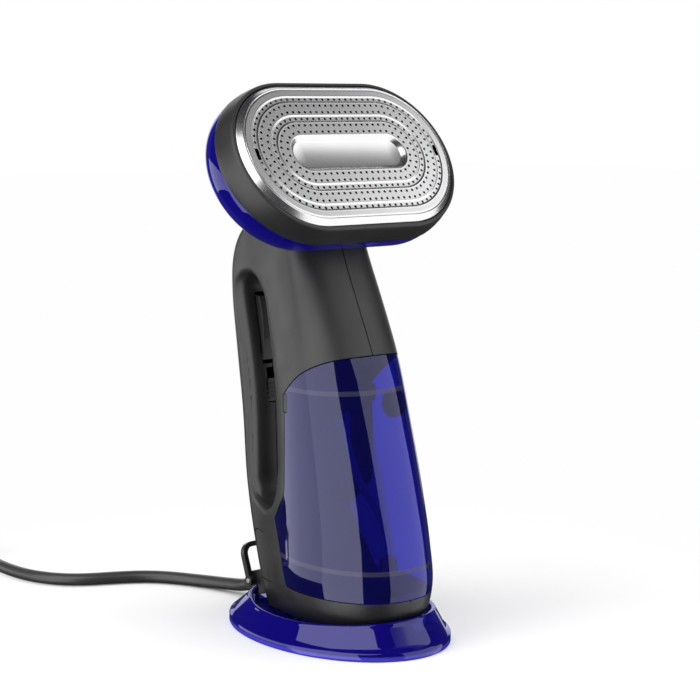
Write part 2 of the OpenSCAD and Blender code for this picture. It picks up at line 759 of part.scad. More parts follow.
// A place on the cord's straight exit stretch, this far out along it.
function exit_at(d) = [0, 60 + d * cos(exit_dip), 16 - d * sin(exit_dip)] + seat;
cord_places = [exit_at(-12), exit_at(10), exit_at(34), exit_at(42), [-3, 104, 5.1], [-10, 126, cord_r],
    [-25, 152, cord_r], [-47, 166, cord_r], [-70, 178, cord_r], [-85, 203, cord_r], [-87.5, 236, cord_r],
    [-84, 266, cord_r]];
module power_cord() {
    color("#333335") bar(smooth_path(cord_places), cord_r, 12);
}
// The plug lies flat beyond the cord's end, in line with its last stretch.
plug_turn = -6.7;
module in_plug() {
    translate([-84, 266, 0]) rotate([0, 0, plug_turn]) children();
}
module plug_body() {
    color("#333335") in_plug() {
        translate([0, 0.5, 4.5]) rotate([-90, 0, 0]) cylinder(r1 = 4.4, r2 = 6, h = 14, $fn = 32);
        hull() for (x = [-9, 9], z = [5.5, 12]) translate([x, 14, z]) rotate([-90, 0, 0])
            cylinder(r = 5.4, h = 24, $fn = 32);
    }
}
module plug_blades() {
    color(steel) in_plug() for (s = [-1, 1]) translate([s * 6.35 - 0.75, 38, 5.6]) cube([1.5, 17, 6.3]);
}

// ---------------------------------------------------------------- one line a node

stand_tray();
stand_feet();
plug_body();
plug_blades();
housing_left();
housing_right();
housing_screws();
base_pan();
base_screws();
side_covers();
bezel();
head_cover();
plate_gasket();
steam_plate();
boiler();
heater_tube();
boiler_lid();
boiler_screws();
thermostat();
thermal_fuse();
pump();
pump_mounts();
suction_tube();
feed_tube();
tank_socket();
socket_seal();
control_board();
board_parts();
wire_harness();
trigger_switch();
control_panel();
indicator_lens();
trigger_pin();
trigger_spring();
cord_collar();
loop_pins();
cord_bushing();
cord_clamp();
power_cord();
trigger();
lock_slider();
power_button();
mode_button();
latch_left();
latch_right();
tank();
tank_spigot();
pickup_hose();
hose_weight();
fill_neck();
fill_plug();
hang_loop();
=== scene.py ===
"""Looks of a handheld garment steamer on its drip stand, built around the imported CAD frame.

Shapes are worked out in millimetres in the steamer's own frame, whose origin is found from the frame's
trigger pin, and put into the row frame in metres. +Z is up, the steam plate faces -Y, the grip and the
cord are at +Y.
"""
import json
import math

import bmesh
import bpy
import numpy as np
import openvdb
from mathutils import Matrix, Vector


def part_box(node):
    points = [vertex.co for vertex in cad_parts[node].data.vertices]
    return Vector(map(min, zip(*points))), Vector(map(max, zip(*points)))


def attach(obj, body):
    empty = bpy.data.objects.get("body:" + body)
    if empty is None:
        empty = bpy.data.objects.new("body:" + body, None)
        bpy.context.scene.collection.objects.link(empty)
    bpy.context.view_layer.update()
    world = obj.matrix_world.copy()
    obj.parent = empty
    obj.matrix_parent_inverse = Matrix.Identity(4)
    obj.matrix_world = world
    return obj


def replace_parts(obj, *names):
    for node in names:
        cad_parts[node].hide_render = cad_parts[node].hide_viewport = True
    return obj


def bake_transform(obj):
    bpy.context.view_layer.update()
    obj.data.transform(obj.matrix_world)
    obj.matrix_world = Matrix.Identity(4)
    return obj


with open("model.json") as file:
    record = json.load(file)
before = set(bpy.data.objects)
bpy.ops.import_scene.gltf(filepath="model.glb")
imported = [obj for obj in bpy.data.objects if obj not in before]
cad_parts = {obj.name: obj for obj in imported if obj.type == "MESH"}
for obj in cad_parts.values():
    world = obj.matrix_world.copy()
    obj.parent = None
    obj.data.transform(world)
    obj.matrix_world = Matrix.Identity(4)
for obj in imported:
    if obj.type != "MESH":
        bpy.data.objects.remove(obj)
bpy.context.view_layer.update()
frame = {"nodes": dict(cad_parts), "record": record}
NODES = frame["nodes"]
MM = 0.001


def middle(node):
    """Centre of a CAD node's box, in millimetres, row frame."""
    low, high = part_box(node)
    return np.array((low + high) / 2) / MM


TRIGGER_PIN = np.array([0, 79.5, 184])
SEAT = middle("trigger_pin") - TRIGGER_PIN
HEAD_TILT = math.radians(58.3)
HEAD_CENTRE = np.array([0, -3.8, 273.8])
PLATE_STRAIGHT = 61
PLATE_R = 44.4

# ---------------------------------------------------------------- smooth curves and fields


def curve(stations, blur=5):
    """A curve through (place, value) stations, softened over a few millimetres, as a function of place."""
    s = np.array(stations, float)
    t, v = s[:, 0], s[:, 1]
    slope = np.gradient(v, t)
    fine = np.arange(t[0], t[-1] + 0.25, 0.25)
    i = np.clip(np.searchsorted(t, fine, side="right") - 1, 0, len(t) - 2)
    h = t[i + 1] - t[i]
    u = (fine - t[i]) / h
    y = (2 * u**3 - 3 * u**2 + 1) * v[i] + (u**3 - 2 * u**2 + u) * h * slope[i]
    y += (3 * u**2 - 2 * u**3) * v[i + 1] + (u**3 - u**2) * h * slope[i + 1]
    if blur:
        reach = np.arange(-3 * blur, 3 * blur + 0.25, 0.25)
        weight = np.exp(-0.5 * (reach / blur) ** 2)
        grown = np.concatenate([y[0] + (y[1] - y[0]) * np.arange(-len(reach), 0), y,
                                y[-1] + (y[-1] - y[-2]) * np.arange(1, len(reach) + 1)])
        y = np.convolve(grown, weight / weight.sum(), "same")[len(reach):-len(reach)]
    return lambda at: np.interp(at, fine, y)


def smooth_max(a, b, k):
    """The larger of two fields, rounded over k where they meet."""
    h = np.clip(0.5 + 0.5 * (a - b) / k, 0, 1)
    return b + (a - b) * h + k * h * (1 - h)


def ease(t):
    t = np.clip(t, 0, 1)
    return t * t * (3 - 2 * t)


# Outline of the housing against height: front and rear faces, greatest half width and where it is, and
# half width of the grip.
FRONT = curve([(7, -43.5), (12, -49.8), (18, -53.4), (27, -55.5), (55, -54), (85, -47.5), (120, -37.5),
               (160, -23.5), (190, -9.5), (215, 2), (240, 12), (258, 22)], 3)
REAR = curve([(7, 54), (16, 60.5), (41, 73.5), (73, 83.6), (120, 89.6), (160, 94.6), (190, 96.8),
              (206, 95.3), (222, 88.5), (236, 75), (248, 61), (258, 48)], 3)
HALF_WIDTH = curve([(7, 29), (12, 33.4), (18, 36), (27, 37.5), (55, 36.5), (85, 35.5), (120, 34.5),
                    (160, 33), (190, 30.5), (215, 28.5), (240, 27), (258, 24)], 3)
WIDEST_AT = curve([(7, -4), (27, -6), (85, -2), (120, 2), (160, 6), (190, 12), (215, 20), (240, 26),
                   (258, 32)])
GRIP_HALF = curve([(7, 23), (16, 21), (41, 17), (73, 14.5), (190, 15), (222, 17), (258, 16)])
BASE_Z, TOP_Z = 7, 258
GRIP_ROUND = 14
NOSE_POWER = 2.3
WALL = 2.4
SHELF_Z = 27
DOCK_Y = 15
TANK_GAP = 0.35

# The finger opening: its middle, half its depth at the centre plane, and how far it runs forward at
# the flanks.
HOLE_MID = curve([(60, 48.5), (80, 49.5), (140, 53), (187, 61.5), (205, 64.5)])
HOLE_HALF = 14.5
HOLE_BOTTOM, HOLE_TOP = 80, 187
COLUMN_ROUND = curve([(55, 2), (68, 4), (79, 10), (90, 16), (116, 17.5), (131, 17.5), (145, 15.5),
                      (158, 14.3), (169, 12.2), (187, 7.5), (204, 3)])
STRUT_ROUND = 7


def outer(x, y, z, inset=0):
    """The housing without its opening: a blunt nose in front, flanks drawn in to a rounded grip behind."""
    front, rear, wide = FRONT(z) + inset, REAR(z) - inset, HALF_WIDTH(z) - inset
    mid, grip = WIDEST_AT(z), GRIP_HALF(z) - inset
    side = np.abs(x)
    ahead = np.clip((mid - y) / (mid - front), 0, None)
    nose = (ahead**NOSE_POWER + (side / wide) ** NOSE_POWER) ** (1 / NOSE_POWER)
    t = np.clip((y - mid) / (rear - mid), 0, None)
    cap = 1 - GRIP_ROUND / (rear - mid)
    wide_here = wide + (grip - wide) * ease(t)
    back = np.sqrt((side / wide_here) ** 2 + np.clip((t - cap) / (1 - cap), 0, None) ** 2)
    return np.where(y < mid, (nose - 1) * wide, (back - 1) * wide_here)


def opening(x, y, z):
    """Below zero inside the finger opening, which flares towards the flanks."""
    side = np.abs(x)
    mid = HOLE_MID(z)
    column = COLUMN_ROUND(z) * (1 - np.sqrt(1 - np.clip(side / (HALF_WIDTH(z) - 0.5), 0, 0.995) ** 2))
    strut = STRUT_ROUND * (1 - (1 - np.clip(side / (GRIP_HALF(z) + 0.5), 0, 0.98) ** 2.6) ** (1 / 2.6))
    half = HOLE_HALF + np.where(y < mid, column, strut)
    across = (y - mid) / half * HOLE_HALF
    end = np.clip(z, HOLE_BOTTOM, HOLE_TOP)
    return np.sqrt(across**2 + (z - end) ** 2) - HOLE_HALF


def head_depth(y, z):
    """Distance behind the steam plate's face."""
    return (y - HEAD_CENTRE[1]) * math.sin(HEAD_TILT) - (z - HEAD_CENTRE[2]) * math.cos(HEAD_TILT)


def body(x, y, z, inset=0):
    """The whole outside of the steamer's housing and tank, below zero inside."""
    f = smooth_max(outer(x, y, z, inset), inset - opening(x, y, z), 5)
    f = smooth_max(f, BASE_Z + inset - z, 1.5)
    f = smooth_max(f, z - TOP_Z + inset, 8)
    return smooth_max(f, 34 + inset - head_depth(y, z), 1)


# ---------------------------------------------------------------- outlines in the side view


def rounded(points, radius, steps=5):
    """A closed outline with its corners rounded; a radius of 0 keeps a corner."""
    out = []
    for i, p in enumerate(points):
        p, before, after = (np.array(q, float) for q in (p, points[i - 1], points[(i + 1) % len(points)]))
        r = radius[i] if isinstance(radius, (list, tuple)) else radius
        a, b = before - p, after - p
        a, b = a / np.linalg.norm(a), b / np.linalg.norm(b)
        half = math.acos(float(np.clip(a @ b, -1, 1))) / 2
        if r == 0 or half > 1.55:
            out.append(p)
            continue
        reach = r / math.tan(half)
        centre = p + (a + b) / np.linalg.norm(a + b) * r / math.sin(half)
        start, stop = p + a * reach - centre, p + b * reach - centre
        for k in range(steps + 1):
            q = start * (1 - k / steps) + stop * k / steps
            out.append(centre + q / np.linalg.norm(q) * r)
    return np.array(out)


def offset_outline(points, distance):
    """A closed outline, counter-clockwise, moved inwards by a distance."""
    p = np.array(points, float)
    d = np.roll(p, -1, 0) - p
    n = np.stack([-d[:, 1], d[:, 0]], 1) / np.maximum(np.linalg.norm(d, axis=1), 1e-9)[:, None]
    m = n + np.roll(n, 1, 0)
    m /= np.linalg.norm(m, axis=1)[:, None]
    return p + m * (distance / np.clip((m * n).sum(1), 0.4, 1))[:, None]


TANK_TOP = curve([(-90, 161.6), (-40, 161.5), (-23, 161.2), (-8, 155.8), (6, 147.3),
                  (DOCK_Y + 0.6, 138.5)], 1.5)


def tank_outline(inset):
    """The tank from the side: shelf, finger notch, docking face and the edge that climbs to the front."""
    edge = [(y, float(TANK_TOP(y))) for y in np.arange(DOCK_Y - 0.9, -30, -1.0)]
    points = [(-80, SHELF_Z), (13, SHELF_Z), (31, 62.5), (DOCK_Y + 0.6, 80), (DOCK_Y, 112),
              (DOCK_Y + 0.6, 138.5)]
    radius = [0, 1.5, 1.6, 12, 0, 1.2] + [0] * (len(edge) + 1)
    return offset_outline(rounded(points + edge + [(-80, float(TANK_TOP(-80)))], radius), inset)


# ---------------------------------------------------------------- meshes


def to_row(points):
    """Millimetres in the steamer's frame to metres in the row frame."""
    return (np.asarray(points, float) + SEAT) * MM


def new_object(name, points, faces):
    mesh = bpy.data.meshes.new(name)
    mesh.from_pydata([tuple(p) for p in points], [], [tuple(int(i) for i in f) for f in faces])
    mesh.validate()
    mesh.shade_smooth()
    obj = bpy.data.objects.new(name, mesh)
    bpy.context.scene.collection.objects.link(obj)
    return obj


def gradient(field, p, step=0.02):
    """Slope of a field at points, in its own units per millimetre."""
    g = np.zeros_like(p)
    for axis in range(3):
        d = np.zeros(3)
        d[axis] = step
        a, b = p + d, p - d
        g[:, axis] = (field(a[:, 0], a[:, 1], a[:, 2]) - field(b[:, 0], b[:, 1], b[:, 2])) / (2 * step)
    return g


def level_surface(field, low, high, step):
    """Points and outward quads of the surface where a field is zero, in the steamer's frame."""
    axes = [np.arange(a, b + step, step) for a, b in zip(low, high)]
    x, y, z = np.meshgrid(*axes, indexing="ij", sparse=True)
    values = np.broadcast_to(field(x, y, z), [len(a) for a in axes]).astype(np.float32)
    grid = openvdb.FloatGrid(background=10.0)
    grid.copyFromArray(np.ascontiguousarray(values))
    points, _, quads = grid.convertToPolygons(isovalue=0.0, adaptivity=0.0)
    points = np.array(low) + points.astype(float) * step
    for _ in range(3):
        g = gradient(field, points)
        f = field(points[:, 0], points[:, 1], points[:, 2])
        move = g * (f / np.maximum((g**2).sum(1), 1e-6))[:, None]
        size = np.linalg.norm(move, axis=1)[:, None]
        points -= move * np.minimum(1, step * 0.6 / np.maximum(size, 1e-9))
    a, b, c = (points[quads[:, k]] for k in range(3))
    if (np.cross(b - a, c - a) * gradient(field, a)).sum() < 0:
        quads = quads[:, ::-1]
    return points, quads


def solid(name, field, low, high, step, inner=None, inner_step=2.0):
    """A closed piece whose outside is a field's surface, hollowed by an inner field where one is given."""
    points, quads = level_surface(field, low, high, step)
    if inner is not None:
        more, inside = level_surface(inner, low, high, inner_step)
        quads = np.concatenate([quads, inside[:, ::-1] + len(points)])
        points = np.concatenate([points, more])
    return new_object(name, to_row(points), quads)


def boolean(obj, cutter, operation="DIFFERENCE"):
    """Cuts, joins or keeps what two closed meshes share, and removes the second."""
    m = obj.modifiers.new("cut", "BOOLEAN")
    m.object = cutter
    m.operation = operation
    m.solver = "MANIFOLD"
    depsgraph = bpy.context.evaluated_depsgraph_get()
    mesh = bpy.data.meshes.new_from_object(obj.evaluated_get(depsgraph))
    obj.modifiers.clear()
    old, obj.data = obj.data, mesh
    bpy.data.meshes.remove(old)
    bpy.data.objects.remove(cutter)
    return obj


def mark_faces(obj, name, values):
    """A number on each face that the materials read."""
    obj.data.attributes.new(name, "FLOAT", "FACE").data.foreach_set("value", np.asarray(values, float))


def face_centres(obj):
    """The faces' centres, in millimetres, in the steamer's frame."""
    co = np.zeros(len(obj.data.polygons) * 3)
    obj.data.polygons.foreach_get("center", co)
    return co.reshape(-1, 3) / MM - SEAT


def true_normals(obj, field, tolerance=0.2):
    """Shades the faces on a field's surface with the field's own slope, and the cut faces flat."""
    mesh = obj.data
    mesh.shade_smooth()
    co = np.zeros(len(mesh.vertices) * 3)
    mesh.vertices.foreach_get("co", co)
    p = co.reshape(-1, 3) / MM - SEAT
    g = gradient(field, p)
    g /= np.maximum(np.linalg.norm(g, axis=1), 1e-9)[:, None]
    near = np.abs(field(p[:, 0], p[:, 1], p[:, 2])) < tolerance
    loops = np.zeros(len(mesh.loops), int)
    mesh.loops.foreach_get("vertex_index", loops)
    totals = np.zeros(len(mesh.polygons), int)
    mesh.polygons.foreach_get("loop_total", totals)
    face = np.zeros(len(mesh.polygons) * 3)
    mesh.polygons.foreach_get("normal", face)
    face = np.repeat(face.reshape(-1, 3), totals, axis=0)
    wanted = g[loops]
    agree = near[loops] & ((wanted * face).sum(1) > 0.8)
    mesh.normals_split_custom_set(np.where(agree[:, None], wanted, face).astype(np.float32))


def loft(name, rings):
    """A skin over rings of points of the same count, in millimetres, row frame, capped at both ends."""
    n = len(rings[0])
    faces = [(k * n + i, k * n + (i + 1) % n, (k + 1) * n + (i + 1) % n, (k + 1) * n + i)
             for k in range(len(rings) - 1) for i in range(n)]
    faces += [range(n - 1, -1, -1), range((len(rings) - 1) * n, len(rings) * n)]
    points = np.concatenate([np.asarray(r, float) for r in rings])
    obj = new_object(name, points * MM, faces)
    bm = bmesh.new()
    bm.from_mesh(obj.data)
    bmesh.ops.recalc_face_normals(bm, faces=bm.faces)
    bm.to_mesh(obj.data)
    bm.free()
    obj.data.set_sharp_from_angle(angle=math.radians(38))
    return obj


# ---------------------------------------------------------------- materials


def set_range(node, from_min, from_max, to_min, to_max):
    """Sets what a MapRange node maps from and to."""
    node.inputs["From Min"].default_value = from_min
    node.inputs["From Max"].default_value = from_max
    node.inputs["To Min"].default_value = to_min
    node.inputs["To Max"].default_value = to_max


class Shader:
    """A node material being wired up: add makes a node, whose inputs take values or other nodes' outputs."""

    def __init__(self, name):
        self.material = bpy.data.materials.new(name)
        self.material.use_nodes = True
        self.tree = self.material.node_tree
        self.tree.nodes.clear()
        self.output = self.tree.nodes.new("ShaderNodeOutputMaterial")

    def add(self, kind, settings=None, **inputs):
        node = self.tree.nodes.new("ShaderNode" + kind)
        for key, value in (settings or {}).items():
            setattr(node, key, value)
        for key, value in inputs.items():
            name = key.replace("_", " ")
            socket = node.inputs[int(key[1:])] if key[0] == "i" and key[1:].isdigit() else node.inputs[name]
            if isinstance(value, bpy.types.NodeSocket):
                self.tree.links.new(value, socket)
            else:
                socket.default_value = value
        return node

    def noise(self, scale, detail=3, roughness=0.6, stretch=(1, 1, 1)):
        place = self.add("TexCoord")
        map_node = self.add("Mapping", Vector=place.outputs["Object"], Scale=stretch)
        return self.add("TexNoise", Vector=map_node.outputs[0], Scale=scale, Detail=detail,
                        Roughness=roughness).outputs["Fac"]

    def spread(self, fac, low, high):
        """A value between low and high as fac goes from 0.3 to 0.7."""
        node = self.add("MapRange", Value=fac)
        set_range(node, 0.3, 0.7, low, high)
        return node.outputs[0]

    def blend_colour(self, fac, a, b):
        node = self.add("Mix", {"data_type": "RGBA"})
        for socket, colour in ((node.inputs[6], a), (node.inputs[7], b)):
            if isinstance(colour, bpy.types.NodeSocket):
                self.tree.links.new(colour, socket)
            else:
                socket.default_value = (*colour, 1)
        self.tree.links.new(fac, node.inputs[0])
        return node.outputs[2]

    def bump(self, height, strength, distance, normal=None):
        node = self.add("Bump", Height=height, Strength=strength, Distance=distance)
        if normal is not None:
            self.tree.links.new(normal, node.inputs["Normal"])
        return node.outputs[0]

    def finish(self, surface):
        self.tree.links.new(surface, self.output.inputs["Surface"])
        return self.material


def moulded(name, dark, light, roughness, grain=0.00004, grain_scale=2600, coat=0.0):
    """Moulded plastic or rubber with a fine grain, uneven gloss and faint colour variation."""
    sh = Shader(name)
    cloud = sh.noise(14)
    grit = sh.noise(grain_scale, 2)
    edge = sh.add("Bevel", {"samples": 4}, Radius=0.0005).outputs[0]
    bsdf = sh.add("BsdfPrincipled",
                  Base_Color=sh.blend_colour(sh.spread(cloud, 0, 1), dark, light),
                  Roughness=sh.spread(sh.noise(60), roughness - 0.04, roughness + 0.05),
                  Normal=sh.bump(grit, 0.5, grain, edge),
                  Coat_Weight=coat, Coat_Roughness=0.12)
    return sh.finish(bsdf.outputs[0])


def tinted(name, deep, tint, clear, roughness=0.03, bands=(), lit=None):
    """Clear blue plastic: a dark body colour, a tinted see-through share, a strong polish and weld bands.

    The see-through share is greatest near the middle plane. Below the height lit, the thick edge gathers
    light and shows a brighter blue. Back faces and the faces marked lining only let light through.
    """
    sh = Shader(name)
    ripple = sh.bump(sh.noise(30, 1), 0.10, 0.0004)
    smear = sh.spread(sh.noise(22, 4), roughness * 0.7, roughness * 1.8)
    body_colour = sh.blend_colour(sh.spread(sh.noise(9), 0, 1), deep, tuple(c * 1.25 for c in deep))
    if lit is not None:
        height = sh.add("SeparateXYZ", Vector=sh.add("TexCoord").outputs["Object"]).outputs[2]
        low = sh.add("MapRange", {"interpolation_type": "SMOOTHSTEP"}, Value=height)
        set_range(low, lit - 0.001, lit + 0.0005, 1.0, 0.0)
        mix = sh.add("Mix", {"data_type": "RGBA"})
        sh.tree.links.new(low.outputs[0], mix.inputs[0])
        sh.tree.links.new(body_colour, mix.inputs[6])
        mix.inputs[7].default_value = (0.07, 0.06, 0.55, 1)
        body_colour = mix.outputs[2]
    across = sh.add("SeparateXYZ", Vector=sh.add("TexCoord").outputs["Object"]).outputs[0]
    aside = sh.add("Math", {"operation": "ABSOLUTE"}, i0=across)
    thick = sh.add("MapRange", {"interpolation_type": "SMOOTHSTEP"}, Value=aside.outputs[0])
    set_range(thick, 0.008, 0.016, clear, clear * 0.25)
    share = thick.outputs[0]
    for height, half in bands:
        place = sh.add("TexCoord").outputs["Object"]
        z = sh.add("SeparateXYZ", Vector=place).outputs[2]
        off = sh.add("Math", {"operation": "SUBTRACT"}, i0=z, i1=height)
        size = sh.add("Math", {"operation": "ABSOLUTE"}, i0=off.outputs[0])
        inside = sh.add("Math", {"operation": "LESS_THAN"}, i0=size.outputs[0], i1=half)
        mix = sh.add("Mix", {"data_type": "RGBA"})
        sh.tree.links.new(inside.outputs[0], mix.inputs[0])
        sh.tree.links.new(body_colour, mix.inputs[6])
        mix.inputs[7].default_value = (0.035, 0.033, 0.075, 1)
        body_colour = mix.outputs[2]
        less = sh.add("Math", {"operation": "MULTIPLY_ADD"}, i0=inside.outputs[0], i1=-clear * 0.6, i2=share)
        share = less.outputs[0]
    matte = sh.add("BsdfPrincipled", Base_Color=body_colour, Roughness=0.5, Specular_IOR_Level=0.0)
    through = sh.add("BsdfTransparent", Color=(*tint, 1))
    core = sh.add("MixShader", Fac=share, i1=matte.outputs[0], i2=through.outputs[0])
    gloss = sh.add("BsdfGlossy", Color=(0.74, 0.74, 1, 1), Roughness=smear, Normal=ripple)
    facing = sh.add("Fresnel", IOR=1.62, Normal=ripple)
    polished = sh.add("MixShader", Fac=facing.outputs[0], i1=core.outputs[0], i2=gloss.outputs[0])
    inside_wall = sh.add("BsdfTransparent", Color=(1, 1, 1, 1))
    behind = sh.add("NewGeometry").outputs["Backfacing"]
    lining = sh.add("Attribute", {"attribute_name": "lining"}).outputs["Fac"]
    front = sh.add("MixShader", Fac=lining, i1=polished.outputs[0], i2=through.outputs[0])
    both = sh.add("MixShader", Fac=behind, i1=front.outputs[0], i2=inside_wall.outputs[0])
    return sh.finish(both.outputs[0])


def metal(name, colour, roughness, brushed=(1, 1, 1), scale=400, bump=0.00002, spread=0.06):
    """Metal with a directional grain. Faces marked by the face attribute read below, such as the walls of the
    steam holes, are painted near black as painted shade inside the holes.
    """
    sh = Shader(name)
    grain = sh.noise(scale, 3, 0.6, brushed)
    edge = sh.add("Bevel", {"samples": 4}, Radius=0.0003).outputs[0]
    # painted shade: faces marked by this attribute, the steam holes' walls, get a near-black colour that
    # stands in for the shade inside the holes
    painted_hole_shade = sh.add("Attribute", {"attribute_name": "painted_hole_shade"}).outputs["Fac"]
    unshaded_colour = sh.blend_colour(sh.spread(sh.noise(25), 0, 1), tuple(c * 0.92 for c in colour), colour)
    bsdf = sh.add("BsdfPrincipled",
                  Base_Color=sh.blend_colour(painted_hole_shade, unshaded_colour, (0.03, 0.03, 0.03)),
                  Metallic=1.0, Roughness=sh.spread(grain, roughness - spread, roughness + spread),
                  Normal=sh.bump(grain, 0.35, bump, edge))
    return sh.finish(bsdf.outputs[0])


def materials():
    """Every finish, by the name of its material slot in the record."""
    band = [((h + SEAT[2]) * MM, 0.0013) for h in (141.5, 44)]
    return {
        "charcoal": moulded("charcoal", (0.016, 0.016, 0.0165), (0.021, 0.021, 0.0215), 0.40),
        "black_plastic": moulded("black_plastic", (0.008, 0.008, 0.0085), (0.013, 0.013, 0.0135), 0.32),
        "cord_black": moulded("cord_black", (0.026, 0.026, 0.0265), (0.038, 0.038, 0.0385), 0.36,
                              0.00005, 1500),
        "rubber_black": moulded("rubber_black", (0.019, 0.019, 0.019), (0.028, 0.028, 0.028), 0.62,
                                0.00008, 1200),
        "seal_red": moulded("seal_red", (0.30, 0.05, 0.03), (0.38, 0.07, 0.04), 0.5),
        "silicone": moulded("silicone", (0.55, 0.55, 0.52), (0.66, 0.66, 0.62), 0.5),
        "ceramic": moulded("ceramic", (0.60, 0.57, 0.50), (0.72, 0.69, 0.62), 0.5),
        "board": moulded("board", (0.01, 0.10, 0.03), (0.02, 0.16, 0.05), 0.4),
        "wire_red": moulded("wire_red", (0.35, 0.02, 0.015), (0.45, 0.03, 0.02), 0.4),
        "tube_clear": moulded("tube_clear", (0.30, 0.32, 0.75), (0.45, 0.47, 0.90), 0.3),
        "lens": moulded("lens", (0.20, 0.45, 0.95), (0.30, 0.55, 1.0), 0.15, coat=0.6),
        "tank_blue": tinted("tank_blue", (0.0018, 0.0014, 0.05), (0.11, 0.11, 0.86), 0.42, bands=band),
        "stand_blue": tinted("stand_blue", (0.0035, 0.001, 0.14), (0.11, 0.11, 0.86), 0.24, lit=0.003),
        "steel": metal("steel", (0.76, 0.76, 0.77), 0.24, (0.12, 1, 1), 1400, 0.0000002, 0.012),
        "cast": metal("cast", (0.10, 0.10, 0.105), 0.5, scale=1500, bump=0.00005),
        "brass": metal("brass", (0.75, 0.55, 0.25), 0.3),
    }


MATERIALS = materials()
SLOT_OF = {p["node"]: p["material_slot"] for p in frame["record"]["subparts"]}


def dress(obj, slot_name):
    """Gives a new piece the material of the record's slot of that name."""
    obj.data.materials.clear()
    obj.data.materials.append(MATERIALS[slot_name])
    return obj


def dress_cad_nodes():
    """Materials for the CAD nodes, including those that stay as they are."""
    for node, obj in NODES.items():
        obj.data.materials.clear()
        obj.data.materials.append(MATERIALS["black_plastic" if node == "trigger" else SLOT_OF[node]])


# ---------------------------------------------------------------- frames of the head and the panel


def tilted(origin, angle):
    """A frame turned about X: takes local x, y, z columns to the steamer's frame."""
    c, s = math.cos(angle), math.sin(angle)

    def place(p):
        p = np.asarray(p, float)
        return np.stack([p[:, 0] + origin[0], origin[1] + p[:, 1] * c - p[:, 2] * s,
                         origin[2] + p[:, 1] * s + p[:, 2] * c], 1)
    return place


def along_x(p):
    """Outline y, z and distance along X to the steamer's frame."""
    p = np.asarray(p, float)
    return np.stack([p[:, 2], p[:, 0], p[:, 1]], 1)


def along_y(p):
    """Outline x, z and distance along Y to the steamer's frame."""
    p = np.asarray(p, float)
    return np.stack([p[:, 0], p[:, 2], p[:, 1]], 1)


IN_HEAD = tilted(HEAD_CENTRE, HEAD_TILT)
IN_PANEL = tilted((0, 68.2, 242.6), math.radians(-40.6))


def extrude(outline, low, high, place):
    """A closed bar: a local outline carried from low to high along the local third axis."""
    n = len(outline)
    points = place([(p[0], p[1], w) for w in (low, high) for p in outline])
    faces = [range(n - 1, -1, -1), range(n, 2 * n)]
    faces += [(i, (i + 1) % n, n + (i + 1) % n, n + i) for i in range(n)]
    return closed(new_object("cutter", to_row(points), faces))


def closed(obj):
    """Faces turned outwards, and the end caps cut into triangles."""
    bm = bmesh.new()
    bm.from_mesh(obj.data)
    bmesh.ops.recalc_face_normals(bm, faces=bm.faces)
    bmesh.ops.triangulate(bm, faces=[f for f in bm.faces if len(f.verts) > 4])
    bm.to_mesh(obj.data)
    bm.free()
    return obj


def box_outline(u0, u1, v0, v1, radius=0.0):
    return rounded([(u0, v0), (u1, v0), (u1, v1), (u0, v1)], radius)


def slot_outline(a, b, radius, steps=16):
    """The outline round two equal circles."""
    a, b = np.array(a, float), np.array(b, float)
    turn = math.atan2(b[1] - a[1], b[0] - a[0])
    angles = [turn + math.pi * (0.5 + k / steps) for k in range(steps + 1)]
    first = [a + radius * np.array([math.cos(t), math.sin(t)]) for t in angles]
    second = [b - radius * np.array([math.cos(t), math.sin(t)]) for t in angles]
    return np.array(first + second)


def grown(corners, radius, steps=6):
    """A convex counter-clockwise outline moved outwards by a radius, with round corners."""
    c = np.array(corners, float)
    out = []
    for i, corner in enumerate(c):
        into = corner - c[i - 1]
        away = c[(i + 1) % len(c)] - corner
        start = math.atan2(-into[0], into[1])
        turn = (math.atan2(-away[0], away[1]) - start) % (2 * math.pi)
        angles = [start + turn * k / steps for k in range(steps + 1)]
        out += [corner + radius * np.array([math.cos(a), math.sin(a)]) for a in angles]
    return np.array(out)


def latch_outline(gap):
    return box_outline(LATCH_Y - LATCH_HALF_Y - gap, LATCH_Y + LATCH_HALF_Y + gap,
                       LATCH_Z - LATCH_HALF_Z - gap, LATCH_Z + LATCH_HALF_Z + gap, 1.5 + gap)


def stadium(radius, depth, up=0.0, arc=44, run=12):
    """A ring of points on the head's stadium outline, counter-clockwise, in the head's frame."""
    half = PLATE_STRAIGHT / 2
    ring = []
    for side in (1, -1):
        for k in range(arc + 1):
            a = math.pi * (k / arc - 0.5) + (0 if side > 0 else math.pi)
            ring.append((side * half + radius * math.cos(a), radius * math.sin(a) + up, depth))
        ring += [(side * half * (1 - 2 * k / run), side * radius + up, depth) for k in range(1, run)]
    return np.array(ring)


# ---------------------------------------------------------------- housing and tank

LOW, HIGH = (-41, -60, 4), (41, 101, 262)
SIDE_COVER = [(60.5, 46.6), (50.5, 46.6), (40.8, 25.2), (55, 25.2)]
SIDE_COVER_ROUND = 3
SCREWS = [(26.2, 100), (26.2, 128), (75.5, 84), (66, 56.5), (86, 216)]
TRIGGER_Z, LOCK_Z = 168, 134
LATCH_Y, LATCH_Z = DOCK_Y - 0.4, 132.8
LATCH_HALF_Y, LATCH_HALF_Z = 2.0, 5.2


def outline_distance(outline, y, z):
    """Signed distance to a closed outline in the side view, below zero inside."""
    far = np.full(np.broadcast(y, z).shape, 1e9)
    inside = np.zeros(far.shape, bool)
    for a, b in zip(outline, np.roll(outline, -1, 0)):
        d = b - a
        t = np.clip(((y - a[0]) * d[0] + (z - a[1]) * d[1]) / max(d @ d, 1e-9), 0, 1)
        far = np.minimum(far, (y - a[0] - t * d[0]) ** 2 + (z - a[1] - t * d[1]) ** 2)
        crosses = (a[1] > z) != (b[1] > z)
        if a[1] != b[1]:
            inside ^= crosses & (y < a[0] + (z - a[1]) / (b[1] - a[1]) * d[0])
    return np.sqrt(far) * np.where(inside, -1, 1)


